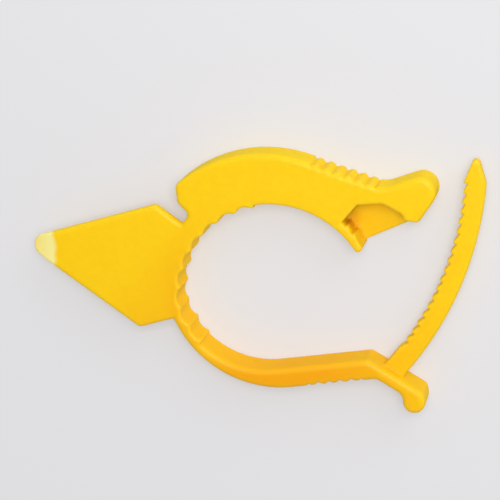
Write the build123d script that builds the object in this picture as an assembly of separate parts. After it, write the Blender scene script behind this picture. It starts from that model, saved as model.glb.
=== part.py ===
from build123d import *
from math import acos, atan2, cos, degrees, radians, sin, sqrt
import os

# Loose wheel nut indicator: one plastic moulding that clips round a hexagonal wheel nut.
# Millimetres. The nut's axis is Z and the pointer lies along -X. The back face is at Z = 0
# and the front face at Z = body_depth. Angles are in degrees, counted from +X about Z,
# and heights on the upper arm are measured outwards from the circle that the nut's corners touch.

# Nut seat and ring
largest_nut = 23.0        # across flats: its corners touch the seat circle
smallest_nut = 19.0       # across flats: one of its flats lies on the lower arm
body_depth = 5.0          # ring and arms, along the nut's axis
front_round = 0.6         # of the front edges of ring and arms
ring_wall = 2.75          # at the upper arm, from where it thins towards the lower arm
scallop_depth = 0.6       # grip scallops for the nut's corners
scallop_pitch = 2.85
scallop_count = 9
scallop_start = 110.0     # angle of the first cusp

# Pointer plate, flush with the front face
pointer_offset = 1.2      # of its middle line from the nut's axis, towards the upper arm
pointer_apex = 35.9       # nut axis to the point where its two edges would meet
pointer_shoulder = 19.7   # from the same place to its widest corners
pointer_spread = 26.4     # angle from its middle line to a corner
pointer_depth = 1.4
pointer_round = 0.45      # of its front edges
corner_radius = 0.7
tip_radius = 1.5
tip_bevel = 5.4           # from the apex to where the bevel of the tip starts
tip_bevel_length = 3.6
tip_bevel_drop = 0.8

# Upper arm, which holds the pocket for the strap
arm_end_angle = 143.8
arm_end_height = 5.0
arm_shoulder_angle = 139.5
arm_shoulder_height = 6.9
arm_radius = 0.8          # of the corners at the arm's shoulder and end
notch_radius = 0.7        # in the corner between the arm's end and the ring
arm_waist_angle = 86.0
arm_waist_height = 6.4
neck_angle = 56.6
neck_height = 8.35
neck_radius = 2.5
upper_bulb_angle = 47.7
upper_bulb_height = 11.5
upper_bulb_radius = 2.1
lip_angle = 40.0          # inner corner of the upper tab
lip_height = 9.2

# Pocket
strap_play = 0.2          # clearance on each side of the strap
web_depth = 1.3           # floor behind the mouth
roof_depth = 1.3          # front wall over the channel
tongue_wall = 1.25        # between the nut seat and the channel
tongue_angle = 43.5       # where the tongue ends
tongue_tip = 1.1
window_angle = 59.5       # where the channel dives under the front wall
channel_end = 130.0
mouth_crown_angle = 52.7
mouth_crown_height = 6.9
mouth_corner_angle = 45.4
mouth_corner_height = 8.05
mouth_lip_angle = 42.9
mouth_lip_height = 7.85
mouth_radius = 1.2
pawl_teeth = 2
pawl_height = 0.45

# Lower arm and its tab
lower_start = 194.0       # angle at which the arm leaves the seat circle
flex_wall = 1.3           # where it leaves the ring
lower_wall = 2.8          # along its straight part
lower_rise = 18.5         # slope of the straight part
inner_bend = 11.8
outer_bend = 14.95
knee_reach = 11.3         # from the middle of the small nut's flat to the knee
knee_radius = 1.0
tab_fall = 21.0           # slope of the tab
tab_wall = 1.75
tab_run = 8.2
lower_bulb_radius = 1.5
lower_bulb_drop = 0.95    # how far the bulb hangs below the middle of the tab
bulb_hollow = 1.5         # radius between the tab's underside and the bulb

# Strap
strap_thickness = 2.95    # over the teeth
strap_radius = 45.6       # middle of the strip, as moulded
strap_length = 31.9
strap_round = 0.25        # of the smooth side's edges, as a share of the strap's width
strap_lean = 58.5         # direction in which it leaves the tab
strap_root = 3.6          # from the knee, along the tab
tooth_depth = 0.6
tooth_pitch = 1.4
tooth_clear = 3.2         # plain length at the root
taper_length = 2.6
taper_width = 1.1

# Finger ribs across the outside of both arms
rib_pitch = 1.5
rib_radius = 0.65
rib_height = 0.4
upper_ribs = 6
lower_ribs = 5
lower_rib_start = 2.6     # from the middle of the small nut's flat

cut_margin = 1.0          # how far a cutter runs past the face that it opens
seat_radius = largest_nut / 2 / cos(radians(30))


def polar(radius, angle, centre=Vector(0, 0)):
    """Point at a radius and an angle about a centre."""
    return centre + Vector(radius * cos(radians(angle)), radius * sin(radians(angle)))


def on_seat(height, angle):
    """Point at a height above the seat circle."""
    return polar(seat_radius + height, angle)


def closed(*edges):
    """Face inside a closed run of edges."""
    return make_face(Curve() + list(edges))


def outline(*points):
    """Face inside straight lines between points."""
    return make_face(Polyline(*points, close=True))


def sector(inner, outer, start, end, centre=Vector(0, 0)):
    """Part of a flat ring between two angles."""
    return closed(
        CenterArc(centre, outer, start, end - start),
        Line(polar(outer, end, centre), polar(inner, end, centre)),
        CenterArc(centre, inner, end, start - end),
        Line(polar(inner, start, centre), polar(outer, start, centre)),
    )


def disc(radius, centre):
    """Round face about a centre."""
    return Pos(centre.X, centre.Y) * Circle(radius)


def tangent_angle(point, centre, radius, side):
    """Angle on a circle where a line from a point touches it."""
    away = point - centre
    return degrees(atan2(away.Y, away.X) + side * acos(radius / away.length))


def rounded(face, corner, radius):
    """Face with its corner nearest to a point rounded."""
    return fillet(face.vertices().sort_by_distance(corner)[0], radius)


def rib_gaps(start, end, count):
    """Gaps between half-round ribs along a straight edge, the ribs' crests on the edge."""
    along = (end - start).normalized()
    outward = Vector(along.Y, -along.X)
    spare = ((end - start).length - rib_pitch * count) / 2
    first = start + along * spare
    last = end - along * spare
    gaps = outline(
        first + outward * cut_margin,
        first - outward * rib_height,
        last - outward * rib_height,
        last + outward * cut_margin,
    )
    for k in range(count):
        gaps -= disc(rib_radius, first + along * rib_pitch * (k + 0.5) - outward * rib_radius)
    return gaps


# Lower arm: thin where it leaves the ring, straight along the small nut's flat, then the tab
along = polar(1, lower_rise)
inward = polar(1, lower_rise + 90)
seat_flat = smallest_nut / 2


def bend_place(start, radius, face_distance):
    """Place along the arm where an arc from a start point runs into a face of the arm."""
    lift = radius - face_distance - inward.dot(start)
    return along.dot(start) + sqrt(radius**2 - lift**2)


inner_start = on_seat(0, lower_start)
outer_start = on_seat(flex_wall, lower_start)
inner_place = bend_place(inner_start, inner_bend, seat_flat)
outer_place = bend_place(outer_start, outer_bend, seat_flat + lower_wall)
inner_end = along * inner_place - inward * seat_flat
outer_end = along * outer_place - inward * (seat_flat + lower_wall)
knee_top = along * knee_reach - inward * seat_flat
tab_along = polar(1, -tab_fall)
tab_down = polar(1, -tab_fall - 90)
knee_turn = radians(lower_rise + tab_fall)
knee_shift = (lower_wall * cos(knee_turn) - tab_wall) / sin(knee_turn)
knee_bottom = knee_top - inward * lower_wall + along * knee_shift
tab_end = knee_top + tab_along * tab_run
tab_middle = tab_end + tab_down * tab_wall / 2
lower_bulb = tab_middle + tab_down * lower_bulb_drop
lower_arm = closed(
    TangentArc(inner_end, inner_start, tangent=-along),
    Line(inner_start, outer_start),
    TangentArc(outer_end, outer_start, tangent=-along),
    Line(outer_end, knee_bottom),
    Line(knee_bottom, tab_end + tab_down * tab_wall),
    Line(tab_end + tab_down * tab_wall, tab_end),
    Line(tab_end, knee_top),
    Line(knee_top, inner_end),
)
lower_arm = rounded(lower_arm, knee_top, knee_radius)
lower_arm = rounded(lower_arm, knee_bottom, knee_radius)
tab_round = disc(tab_wall / 2, tab_middle)
lower_arm += make_hull((tab_round + disc(lower_bulb_radius, lower_bulb)).edges())
bulb_sink = lower_bulb_drop - tab_wall / 2
bulb_back = sqrt(lower_bulb_radius**2 - bulb_sink**2)
hollow = lower_bulb - tab_down * bulb_sink - tab_along * bulb_back
lower_arm = rounded(lower_arm, hollow, bulb_hollow)
rib_start = along * lower_rib_start - inward * (seat_flat + lower_wall)
rib_end = rib_start + along * rib_pitch * lower_ribs

# Ring wall, with a liner inside it that the scallops bite into
bend_centre = along * inner_place + inward * (inner_bend - seat_flat)
bend_first = degrees(atan2(inner_start.Y - bend_centre.Y, inner_start.X - bend_centre.X))
seat_travel = radians(lower_start - scallop_start) * seat_radius
bend_last = bend_first + degrees((scallop_pitch * scallop_count - seat_travel) / inner_bend)
half_chord = scallop_pitch / 2 * (1 - scallop_depth / seat_radius)
scallop_radius = (half_chord**2 + scallop_depth**2) / (2 * scallop_depth)
ring_outside = on_seat((ring_wall + flex_wall) / 2, (arm_end_angle + lower_start) / 2)
notch = on_seat(ring_wall, arm_end_angle)
ring = closed(
    CenterArc((0, 0), seat_radius, arm_end_angle, lower_start - arm_end_angle),
    Line(inner_start, outer_start),
    ThreePointArc(outer_start, ring_outside, notch),
    Line(notch, on_seat(0, arm_end_angle)),
)
liner = sector(seat_radius - scallop_depth, seat_radius + flex_wall / 2, scallop_start, lower_start)
liner += sector(
    inner_bend - scallop_depth, inner_bend + flex_wall / 2, bend_first, bend_last, bend_centre
)
for k in range(scallop_count):
    travel = scallop_pitch * (k + 0.5)
    if travel < seat_travel:
        bite = polar(seat_radius - scallop_radius, scallop_start + degrees(travel / seat_radius))
    else:
        turn = degrees((travel - seat_travel) / inner_bend)
        bite = polar(inner_bend - scallop_radius, bend_first + turn, bend_centre)
    liner -= disc(scallop_radius, bite)

# Upper arm with its tab, as far as the free edge of the web behind the pocket's mouth
arm_end = on_seat(arm_end_height, arm_end_angle)
arm_shoulder = on_seat(arm_shoulder_height, arm_shoulder_angle)
arm_waist = on_seat(arm_waist_height, arm_waist_angle)
neck = on_seat(neck_height, neck_angle)
lip = on_seat(lip_height, lip_angle)
upper_bulb = on_seat(upper_bulb_height, upper_bulb_angle)
tongue_end = on_seat(tongue_tip, tongue_angle)
bulb_first = tangent_angle(lip, upper_bulb, upper_bulb_radius, 1)
bulb_last = tangent_angle(neck, upper_bulb, upper_bulb_radius, -1)
bulb_sweep = (bulb_last - bulb_first) % 360
upper_arm = closed(
    CenterArc((0, 0), seat_radius, arm_end_angle, tongue_angle - arm_end_angle),
    Line(on_seat(0, tongue_angle), tongue_end),
    Line(tongue_end, lip),
    Line(lip, polar(upper_bulb_radius, bulb_first, upper_bulb)),
    CenterArc(upper_bulb, upper_bulb_radius, bulb_first, bulb_sweep),
    Line(polar(upper_bulb_radius, bulb_last, upper_bulb), neck),
    Line(neck, arm_waist),
    TangentArc(arm_waist, arm_shoulder, tangent=arm_waist - neck),
    Line(arm_shoulder, arm_end),
    Line(arm_end, on_seat(0, arm_end_angle)),
)
upper_arm = rounded(upper_arm, neck, neck_radius)
upper_arm = rounded(upper_arm, arm_shoulder, arm_radius)
upper_arm = rounded(upper_arm, arm_end, arm_radius)
upper_arm += disc(tongue_tip / 2, on_seat(tongue_tip / 2, tongue_angle))
profile = rounded(ring + liner + lower_arm + upper_arm, notch, notch_radius)
body = extrude(profile, body_depth)

# The outside is one smooth line from the lip round the lower arm to the scallops, so a rounding
# of the front edge that starts at the waist runs all along it. The ribs are cut after it.
front_edges = body.faces().sort_by(Axis.Z)[-1].edges()
body = fillet(front_edges.sort_by_distance(arm_waist)[0], front_round)
body -= extrude(rib_gaps(rib_start, rib_end, lower_ribs), body_depth)
body -= extrude(rib_gaps(neck, arm_waist, upper_ribs), body_depth)

# Pocket: open to the front at the mouth, then a channel under the front wall, open to the back
channel_inner = seat_radius + tongue_wall
channel_outer = channel_inner + strap_thickness + strap_play
tongue_root = polar(channel_inner, window_angle)
mouth_crown = on_seat(mouth_crown_height, mouth_crown_angle)
mouth_corner = on_seat(mouth_corner_height, mouth_corner_angle)
mouth = outline(
    tongue_root,
    polar(channel_outer, window_angle),
    mouth_crown,
    mouth_corner,
    on_seat(mouth_lip_height, mouth_lip_angle),
    lip,
    lip + polar(cut_margin, tongue_angle - 90),
    tongue_end + polar(cut_margin, tongue_angle - 90),
    tongue_end,
)
mouth = rounded(mouth, mouth_crown, mouth_radius)
mouth = rounded(mouth, mouth_corner, mouth_radius)
pawl_along = (tongue_root - tongue_end).normalized()
pawl_up = Vector(pawl_along.Y, -pawl_along.X)
for k in range(pawl_teeth):
    pawl_first = tongue_root - pawl_along * tooth_pitch * (k + 1.5)
    pawl_last = pawl_first + pawl_along * tooth_pitch
    mouth -= outline(pawl_first, pawl_last, pawl_last + pawl_up * pawl_height)
channel = sector(channel_inner, channel_outer, window_angle, channel_end)
body -= Pos(0, 0, web_depth) * extrude(mouth, body_depth)
body -= Pos(0, 0, -cut_margin) * extrude(channel, body_depth - roof_depth + cut_margin)

# Pointer plate with rounded front edges and a bevelled tip; it ends inside the ring wall
pointer_centre = Vector(0, pointer_offset)
apex = polar(pointer_apex, 180, pointer_centre)
lower_corner = polar(pointer_shoulder, 180 + pointer_spread, pointer_centre)
upper_corner = polar(pointer_shoulder, 180 - pointer_spread, pointer_centre)
pointer = outline(apex, lower_corner, pointer_centre, upper_corner)
pointer = rounded(pointer, apex, tip_radius)
pointer = rounded(pointer, lower_corner, corner_radius)
pointer = rounded(pointer, upper_corner, corner_radius)
pointer -= Circle(seat_radius + flex_wall / 4)
plate = extrude(pointer, pointer_depth)
plate_front = plate.faces().sort_by(Axis.Z)[-1]
plate = fillet(plate_front.edges().sort_by(Axis.X)[:-1], pointer_round)
bevel = Cone(
    tip_bevel - tip_bevel_length,
    tip_bevel,
    tip_bevel_drop,
    align=(Align.CENTER, Align.CENTER, Align.MAX),
)
plate -= Pos(apex.X, apex.Y, pointer_depth) * bevel
body += Pos(0, 0, body_depth - pointer_depth) * plate

# Strap: a curved strip on the lower tab, narrower than the arms, toothed on the ring's side
strap_width = body_depth - web_depth - roof_depth - 2 * strap_play
strap_floor = web_depth + strap_play
strap_foot = knee_top + tab_along * strap_root + tab_down * tab_wall / 2
strap_first = strap_lean - 90
strap_centre = strap_foot - polar(strap_radius, strap_first)
strap_last = strap_first + degrees(strap_length / strap_radius)
taper_first = strap_last - degrees(taper_length / strap_radius)
crest = strap_radius - strap_thickness / 2
spine = strap_radius + strap_thickness / 2
strap = sector(crest, spine, strap_first, taper_first, strap_centre)
strap += outline(
    polar(crest, taper_first, strap_centre),
    polar(spine, taper_first, strap_centre),
    polar(strap_radius + taper_width / 2, strap_last, strap_centre),
    polar(strap_radius - taper_width / 2, strap_last, strap_centre),
)
strap += disc(taper_width / 2, polar(strap_radius, strap_last, strap_centre))
tooth_angle = degrees(tooth_pitch / strap_radius)
tooth_count = int((strap_length - tooth_clear - taper_length) / tooth_pitch)
for k in range(tooth_count):
    ramp_end = taper_first - k * tooth_angle
    ramp_start = ramp_end - tooth_angle
    strap -= outline(
        polar(crest, ramp_start, strap_centre),
        polar(crest - cut_margin, ramp_start, strap_centre),
        polar(crest - cut_margin, ramp_end, strap_centre),
        polar(crest + tooth_depth, ramp_end, strap_centre),
    )
strip = extrude(strap, strap_width)
spine_edges = strip.edges().sort_by(SortBy.LENGTH)[-2:]
body += Pos(0, 0, strap_floor) * fillet(spine_edges, strap_width * strap_round)

os.makedirs("parts", exist_ok=True)
export_step(body, "parts/wheel_nut_indicator.step")
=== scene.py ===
from math import cos, radians, sin, tan

import bmesh
import bpy
from mathutils import Matrix, Vector


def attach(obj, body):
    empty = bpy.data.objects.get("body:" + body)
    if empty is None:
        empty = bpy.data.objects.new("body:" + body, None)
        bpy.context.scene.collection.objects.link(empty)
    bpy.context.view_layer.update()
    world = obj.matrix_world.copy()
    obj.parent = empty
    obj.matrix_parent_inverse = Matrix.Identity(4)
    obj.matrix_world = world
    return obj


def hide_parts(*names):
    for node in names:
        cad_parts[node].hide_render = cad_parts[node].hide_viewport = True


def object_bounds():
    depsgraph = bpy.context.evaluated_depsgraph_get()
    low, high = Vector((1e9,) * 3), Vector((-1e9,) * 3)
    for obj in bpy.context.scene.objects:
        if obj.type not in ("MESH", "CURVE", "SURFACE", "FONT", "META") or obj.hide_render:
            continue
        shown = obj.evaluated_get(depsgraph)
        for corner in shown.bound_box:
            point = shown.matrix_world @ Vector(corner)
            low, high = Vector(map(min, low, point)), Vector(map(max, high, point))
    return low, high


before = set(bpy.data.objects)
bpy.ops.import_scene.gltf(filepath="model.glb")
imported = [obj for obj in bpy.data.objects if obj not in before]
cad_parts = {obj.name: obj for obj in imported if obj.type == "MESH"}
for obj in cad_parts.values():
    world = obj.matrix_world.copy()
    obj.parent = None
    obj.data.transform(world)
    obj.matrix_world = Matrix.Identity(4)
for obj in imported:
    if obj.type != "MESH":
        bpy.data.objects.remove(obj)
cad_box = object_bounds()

scene = bpy.context.scene


# The indicator: one injection moulding in yellow plastic, with no loose piece on it.
# Moulded edges are never quite sharp: the solid becomes a fine even mesh, whose points are then
# relaxed, and that rounds every edge and inner corner a little.
MM = 0.001
MERGE_GAP = 0.001 * MM
MESH_STEP = 0.18 * MM
MESH_DEPTH = 9
PROBE_START = 0.01 * MM
NOISE_LOW = 0.3
NOISE_HIGH = 0.7


def add_node(tree, kind, **settings):
    """New node in a tree, with its properties set and its inputs linked or filled in by name."""
    made = tree.nodes.new(kind)
    inputs = settings.pop("inputs", {})
    for name, value in settings.items():
        setattr(made, name, value)
    for key, value in inputs.items():
        if isinstance(value, bpy.types.NodeSocket):
            tree.links.new(value, made.inputs[key])
        else:
            made.inputs[key].default_value = value
    return made


def maths(tree, operation, first, second=0.0):
    """Result of an operation on one or two values."""
    made = add_node(tree, "ShaderNodeMath", operation=operation, inputs={0: first, 1: second})
    return made.outputs[0]


def moulded_skin():
    """Geometry Nodes: relaxes the skin, then notes its edges and the thickness of the wall."""
    tree = bpy.data.node_groups.new("moulded_skin", "GeometryNodeTree")
    inputs = {"Geometry": "NodeSocketGeometry", "Softening": "NodeSocketInt",
              "Edge reach": "NodeSocketInt", "Edge size": "NodeSocketFloat",
              "Deepest wall": "NodeSocketFloat", "Wall reach": "NodeSocketInt",
              "Material": "NodeSocketMaterial"}
    for name, kind in inputs.items():
        tree.interface.new_socket(name, in_out="INPUT", socket_type=kind)
    tree.interface.new_socket("Geometry", in_out="OUTPUT", socket_type="NodeSocketGeometry")
    given = tree.nodes.new("NodeGroupInput").outputs
    place = tree.nodes.new("GeometryNodeInputPosition").outputs["Position"]
    normal = tree.nodes.new("GeometryNodeInputNormal").outputs["Normal"]

    # Every point moves to the mean of its neighbours, a few times over
    relaxed = add_node(tree, "GeometryNodeBlurAttribute", data_type="FLOAT_VECTOR",
                       inputs={"Value": place, "Iterations": given["Softening"]})
    soft = add_node(tree, "GeometryNodeSetPosition",
                    inputs={"Geometry": given["Geometry"], "Position": relaxed.outputs["Value"]})

    # Edge: how far a point stands proud of its surroundings, below 0 in inner corners
    mean = add_node(tree, "GeometryNodeBlurAttribute", data_type="FLOAT_VECTOR",
                    inputs={"Value": place, "Iterations": given["Edge reach"]})
    away = add_node(tree, "ShaderNodeVectorMath", operation="SUBTRACT",
                    inputs={0: place, 1: mean.outputs["Value"]})
    proud = add_node(tree, "ShaderNodeVectorMath", operation="DOT_PRODUCT",
                     inputs={0: away.outputs[0], 1: normal})
    edge = maths(tree, "DIVIDE", proud.outputs["Value"], given["Edge size"])
    edged = add_node(tree, "GeometryNodeStoreNamedAttribute", data_type="FLOAT", domain="POINT",
                     inputs={"Geometry": soft.outputs[0], "Name": "edge", "Value": edge})

    # Wall: how far it is through the plastic to the other side, as a share of the deepest wall
    inwards = add_node(tree, "ShaderNodeVectorMath", operation="SCALE",
                       inputs={0: normal, "Scale": -1.0})
    nudge = add_node(tree, "ShaderNodeVectorMath", operation="SCALE",
                     inputs={0: normal, "Scale": -PROBE_START})
    below = add_node(tree, "ShaderNodeVectorMath", operation="ADD",
                     inputs={0: place, 1: nudge.outputs[0]})
    probe = add_node(tree, "GeometryNodeRaycast",
                     inputs={"Target Geometry": edged.outputs[0],
                             "Source Position": below.outputs[0],
                             "Ray Direction": inwards.outputs[0],
                             "Ray Length": given["Deepest wall"]})
    wall = maths(tree, "DIVIDE", probe.outputs["Hit Distance"], given["Deepest wall"])
    even_wall = add_node(tree, "GeometryNodeBlurAttribute", data_type="FLOAT",
                         inputs={"Value": wall, "Iterations": given["Wall reach"]})
    walled = add_node(tree, "GeometryNodeStoreNamedAttribute", data_type="FLOAT", domain="POINT",
                      inputs={"Geometry": edged.outputs[0], "Name": "wall",
                              "Value": even_wall.outputs["Value"]})

    smooth = add_node(tree, "GeometryNodeSetShadeSmooth", inputs={"Geometry": walled.outputs[0]})
    real = add_node(tree, "GeometryNodeRealizeInstances", inputs={"Geometry": smooth.outputs[0]})
    painted = add_node(tree, "GeometryNodeSetMaterial",
                       inputs={"Geometry": real.outputs[0], "Material": given["Material"]})
    result = tree.nodes.new("NodeGroupOutput")
    tree.links.new(painted.outputs[0], result.inputs["Geometry"])
    return tree


def blend(tree, factor, first, second):
    """Colour that goes from a first to a second one with a factor."""
    made = add_node(tree, "ShaderNodeMix", data_type="RGBA", inputs={"Factor": factor})
    sockets = [socket for socket in made.inputs if socket.type == "RGBA"]
    for socket, colour in zip(sockets, (first, second)):
        if isinstance(colour, bpy.types.NodeSocket):
            tree.links.new(colour, socket)
        else:
            socket.default_value = (*colour, 1)
    return [socket for socket in made.outputs if socket.type == "RGBA"][0]


def ramp(tree, value, low, high, start=0.0, end=1.0):
    """Value mapped from one range to another, held at the ends."""
    made = add_node(tree, "ShaderNodeMapRange", inputs={
        "Value": value, "From Min": low, "From Max": high, "To Min": start, "To Max": end})
    return made.outputs["Result"]


def speckle(tree, place, size, detail):
    """Noise with features of a size in metres, from 0 to 1."""
    made = add_node(tree, "ShaderNodeTexNoise",
                    inputs={"Vector": place, "Scale": 1 / size, "Detail": detail})
    return made.outputs["Fac"]


def distance_from(tree, place, point):
    """Distance of a place from a fixed point."""
    made = add_node(tree, "ShaderNodeVectorMath", operation="DISTANCE", inputs={0: place, 1: point})
    return made.outputs["Value"]


def yellow_plastic():
    """Semi-gloss moulded plastic, coloured right through and a little translucent."""
    made = bpy.data.materials.new("yellow_plastic")
    made.use_nodes = True
    tree = made.node_tree
    shader = tree.nodes["Principled BSDF"]
    spot = add_node(tree, "ShaderNodeTexCoord").outputs
    place = spot["Object"]
    lift = add_node(tree, "ShaderNodeSeparateXYZ", inputs={0: spot["Normal"]}).outputs["Z"]
    facing = maths(tree, "ABSOLUTE", lift)
    edge = add_node(tree, "ShaderNodeAttribute", attribute_name="edge").outputs["Fac"]
    wall = add_node(tree, "ShaderNodeAttribute", attribute_name="wall").outputs["Fac"]

    # Painted shade: the lower arm is amber and the rest yellow, with a cloudy border between them.
    # Painted light: the side walls are lighter than the flat faces.
    lower_arm = (5 * MM, -11 * MM, 2.5 * MM)
    full_shade_reach = 8 * MM
    shade_fade_reach = 28 * MM
    cloud_size = 14 * MM
    cloud_shift = 4 * MM
    face_shaded_amber = (0.915, 0.39, 0.001)
    lit_wall_shaded_amber = (0.945, 0.465, 0.001)
    face_yellow = (0.975, 0.62, 0.001)
    lit_wall_yellow = (0.98, 0.68, 0.001)
    cloud = speckle(tree, place, cloud_size, 2)
    shift = ramp(tree, cloud, NOISE_LOW, NOISE_HIGH, -cloud_shift, cloud_shift)
    shade_distance = maths(tree, "ADD", distance_from(tree, place, lower_arm), shift)
    # Painted light: side walls lighter than the flat faces
    lit_sides = ramp(tree, facing, 0.7, 0.15)
    shaded_amber = blend(tree, lit_sides, face_shaded_amber, lit_wall_shaded_amber)
    yellow_lit_walls = blend(tree, lit_sides, face_yellow, lit_wall_yellow)
    colour = blend(tree, ramp(tree, shade_distance, full_shade_reach, shade_fade_reach), shaded_amber, yellow_lit_walls)

    # Painted light through thin walls, which are lighter; mottled all over; painted shade in inner
    # corners, which are deeper; a painted highlight along the edges, which are lighter.
    glow_yellow = (0.99, 0.62, 0.004)
    mottle_orange = (0.90, 0.45, 0.001)
    mottle_size = 0.9 * MM
    corner_shade_orange = (0.80, 0.28, 0.001)
    edge_highlight_yellow = (1.0, 0.66, 0.03)
    thin_glow = ramp(tree, wall, 0.9, 0.2, end=0.35)
    mottle = ramp(tree, speckle(tree, place, mottle_size, 3), 0.35, 0.65, end=0.16)
    # Painted shade in inner corners
    corner = ramp(tree, edge, -0.3, -1.4, end=0.45)
    # Painted highlight along convex edges
    edge_highlight = ramp(tree, edge, 0.25, 1.3, end=0.4)
    colour = blend(tree, thin_glow, colour, glow_yellow)
    colour = blend(tree, mottle, colour, mottle_orange)
    colour = blend(tree, corner, colour, corner_shade_orange)
    colour = blend(tree, edge_highlight, colour, edge_highlight_yellow)

    # Painted shade: the narrow slot beside the pawl teeth is red-orange.
    slot_middle = (8.3 * MM, 12.4 * MM, 2.6 * MM)
    slot_shade_red = (0.60, 0.14, 0.001)
    slot_shade = ramp(tree, distance_from(tree, place, slot_middle), 1.9 * MM, 0.7 * MM, end=0.6)
    colour = blend(tree, slot_shade, colour, slot_shade_red)

    # The bevel of the pointer's tip is cream, palest at its border, which is an arc that wavers
    arc_middle = (-39.5 * MM, -0.6 * MM, 5 * MM)
    waver = 0.15 * MM
    waver_size = 1.5 * MM
    tip_cream = (1.0, 0.90, 0.33)
    palest = 0.92
    ragged = ramp(tree, speckle(tree, place, waver_size, 2), NOISE_LOW, NOISE_HIGH, -waver, waver)
    tip = maths(tree, "ADD", distance_from(tree, place, arc_middle), ragged)
    border = ramp(tree, tip, 9.4 * MM, 8.8 * MM, end=palest)
    towards_end = ramp(tree, tip, 5.9 * MM, 8.2 * MM, 0.62, palest)
    pale = maths(tree, "MINIMUM", border, towards_end)
    colour = blend(tree, pale, colour, tip_cream)
    tree.links.new(colour, shader.inputs["Base Color"])

    # Fine grain and a slow waviness; the side walls are matt, the flat faces are smoother and the
    # edges are rubbed
    grain_size = 0.16 * MM
    grain_height = 0.02 * MM
    wave_size = 4 * MM
    wave_height = 0.06 * MM
    grain = speckle(tree, place, grain_size, 2)
    matt = ramp(tree, grain, NOISE_LOW, NOISE_HIGH, 0.64, 0.76)
    smoother_face = maths(tree, "ADD", matt, ramp(tree, facing, 0.2, 0.9, end=-0.24))
    rubbed_edge = maths(tree, "ADD", smoother_face, ramp(tree, edge, 0.2, 1.2, end=-0.1))
    tree.links.new(rubbed_edge, shader.inputs["Roughness"])
    waves = add_node(tree, "ShaderNodeBump",
                     inputs={"Height": speckle(tree, place, wave_size, 1),
                             "Strength": 0.3, "Distance": wave_height})
    bump = add_node(tree, "ShaderNodeBump",
                    inputs={"Height": grain, "Strength": 0.25, "Distance": grain_height,
                            "Normal": waves.outputs["Normal"]})
    tree.links.new(bump.outputs["Normal"], shader.inputs["Normal"])
    shader.inputs["Specular IOR Level"].default_value = 0.2
    shader.inputs["Subsurface Weight"].default_value = 0.2
    shader.inputs["Subsurface Radius"].default_value = (1.0, 0.4, 0.05)
    shader.inputs["Subsurface Scale"].default_value = 1.0 * MM
    return made


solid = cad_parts["wheel_nut_indicator"]
skin = bpy.data.objects.new("indicator_skin", solid.data.copy())
scene.collection.objects.link(skin)
shape = bmesh.new()
shape.from_mesh(skin.data)
bmesh.ops.remove_doubles(shape, verts=shape.verts, dist=MERGE_GAP)
shape.to_mesh(skin.data)
shape.free()
even = skin.modifiers.new("even_mesh", "REMESH")
even.mode = "SHARP"
even.octree_depth = MESH_DEPTH
even.scale = max(solid.dimensions) / (MESH_STEP * 2 ** MESH_DEPTH)
soften = skin.modifiers.new("moulded_skin", "NODES")
soften.node_group = moulded_skin()
skin_values = {
    "Softening": 4,
    "Edge reach": 12,
    "Edge size": 0.1 * MM,
    "Deepest wall": 5 * MM,
    "Wall reach": 30,
    "Material": yellow_plastic(),
}
for item in soften.node_group.interface.items_tree:
    if item.in_out == "INPUT" and item.name in skin_values:
        soften[item.identifier] = skin_values[item.name]
evaluated = skin.evaluated_get(bpy.context.evaluated_depsgraph_get())
finished = bpy.data.meshes.new_from_object(evaluated)
skin.modifiers.clear()
skin.data = finished
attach(skin, "root")
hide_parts("wheel_nut_indicator")


# Floor, light and camera: a plain pale table in matt paper under two soft studio lamps.
# Near the object the floor takes its shadow, and further out it fades to one even pale tone.
# The camera looks from the right and from above, as in the photo.
FLOOR_REACH = 2.0
SHADOW_REACH = 30 * MM
EVEN_REACH = 160 * MM
PAPER = (0.75, 0.745, 0.765, 1)
EVEN_TONE = (0.8, 0.79, 0.8, 1)
scene.view_settings.view_transform = "Standard"
low, high = cad_box
middle = (low + high) / 2
floor_data = bpy.data.meshes.new("floor")
floor_corners = [(-FLOOR_REACH, -FLOOR_REACH, 0), (FLOOR_REACH, -FLOOR_REACH, 0),
                 (FLOOR_REACH, FLOOR_REACH, 0), (-FLOOR_REACH, FLOOR_REACH, 0)]
floor_data.from_pydata(floor_corners, [], [(0, 1, 2, 3)])
floor = bpy.data.objects.new("floor", floor_data)
scene.collection.objects.link(floor)
floor_paint = bpy.data.materials.new("floor_paint")
floor_paint.use_nodes = True
paper = floor_paint.node_tree
near = paper.nodes["Principled BSDF"]
near.inputs["Base Color"].default_value = PAPER
near.inputs["Roughness"].default_value = 0.7
far = add_node(paper, "ShaderNodeEmission", inputs={"Color": EVEN_TONE})
floor_place = add_node(paper, "ShaderNodeTexCoord").outputs["Object"]
from_middle = distance_from(paper, floor_place, middle)
rays = add_node(paper, "ShaderNodeLightPath").outputs
seen = maths(paper, "MAXIMUM", rays["Is Camera Ray"], rays["Is Glossy Ray"])
seen = maths(paper, "MAXIMUM", seen, rays["Is Transmission Ray"])
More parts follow.
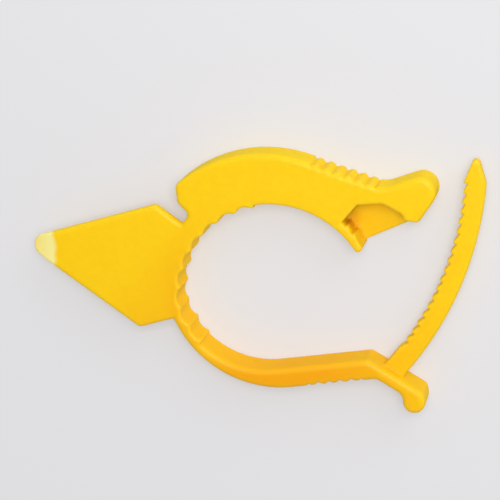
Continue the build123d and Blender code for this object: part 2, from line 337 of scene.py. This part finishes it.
fade = maths(paper, "MULTIPLY", ramp(paper, from_middle, SHADOW_REACH, EVEN_REACH, start=0.4), seen)
both = add_node(paper, "ShaderNodeMixShader",
                inputs={0: fade, 1: near.outputs[0], 2: far.outputs[0]})
paper.links.new(both.outputs[0], paper.nodes["Material Output"].inputs["Surface"])
floor_data.materials.append(floor_paint)

IMAGE_TURN = radians(10.7)
right = Vector((cos(IMAGE_TURN), sin(IMAGE_TURN), 0))
up = Vector((-sin(IMAGE_TURN), cos(IMAGE_TURN), 0))
out = Vector((0, 0, 1))


def aim(obj, place, target, top):
    """Sets an object at a place, looking at a target with its top towards a direction."""
    back = (place - target).normalized()
    side = top.cross(back).normalized()
    over = back.cross(side)
    turn = Matrix((side, over, back)).transposed().to_4x4()
    obj.matrix_world = Matrix.Translation(place) @ turn


def add_lamp(name, direction, away, size, power):
    """Soft square lamp that shines at the middle of the object."""
    data = bpy.data.lights.new(name, "AREA")
    data.shape = "SQUARE"
    data.size = size
    data.energy = power
    lamp = bpy.data.objects.new(name, data)
    scene.collection.objects.link(lamp)
    aim(lamp, middle + direction.normalized() * away, middle, up)


add_lamp("front_lamp", right * 0.25 + up * 0.3 + out, away=0.32, size=0.15, power=0.61)
add_lamp("top_lamp", right * 1.0 + up * 1.3 + out * 0.9, away=0.44, size=0.32, power=0.5)
world = bpy.data.worlds.new("studio")
world.use_nodes = True
sky = world.node_tree.nodes["Background"]
sky.inputs["Color"].default_value = (1, 1, 1, 1)
sky.inputs["Strength"].default_value = 0.4
scene.world = world

VIEW_RIGHT = radians(13.4)
VIEW_UP = radians(16)
VIEW_ROLL = radians(2.7)
VIEW_DISTANCE = 0.23
camera_data = bpy.data.cameras.new("camera")
camera_data.sensor_width = 36
camera_data.lens = 124
camera = bpy.data.objects.new("camera", camera_data)
scene.collection.objects.link(camera)
scene.camera = camera
to_camera = right * tan(VIEW_RIGHT) + up * tan(VIEW_UP) + out
camera_place = middle + to_camera.normalized() * VIEW_DISTANCE
aim(camera, camera_place, middle, up + right * tan(VIEW_ROLL))
